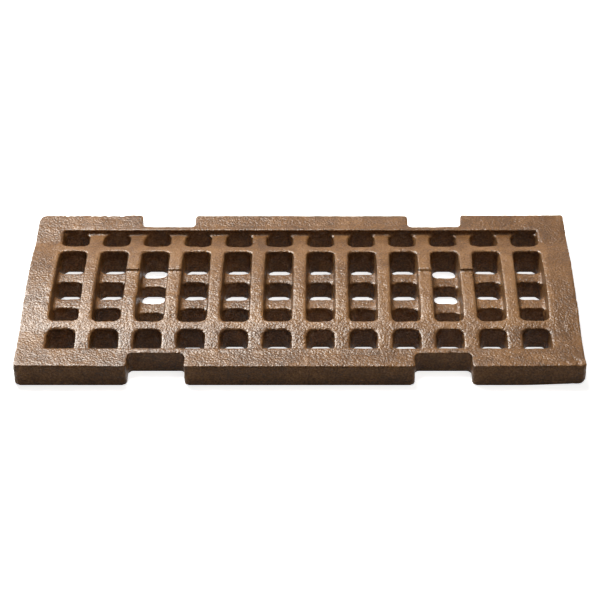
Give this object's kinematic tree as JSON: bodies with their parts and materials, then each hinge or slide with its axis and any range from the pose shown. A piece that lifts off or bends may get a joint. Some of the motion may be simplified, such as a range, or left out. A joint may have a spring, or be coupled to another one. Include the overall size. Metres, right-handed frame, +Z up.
{
  "type": "channel drain grate",
  "caption": "One-piece cast iron drainage channel grate with an arched rib field, sunk crossbars, locking seats and edge notches.",
  "frame": {"origin": "middle of the underside, on the plane that bears on the channel's ledges", "axes": "+X along the grate's length, +Y across its width, +Z up out of the arched walking face"},
  "size_m": [0.5, 0.224, 0.0285],
  "materials": {
    "cast_iron": "sand-cast with a thin brown coating"
  },
  "bodies": {
    "root": {"grate": "cast_iron"}
  },
  "joints": []
}
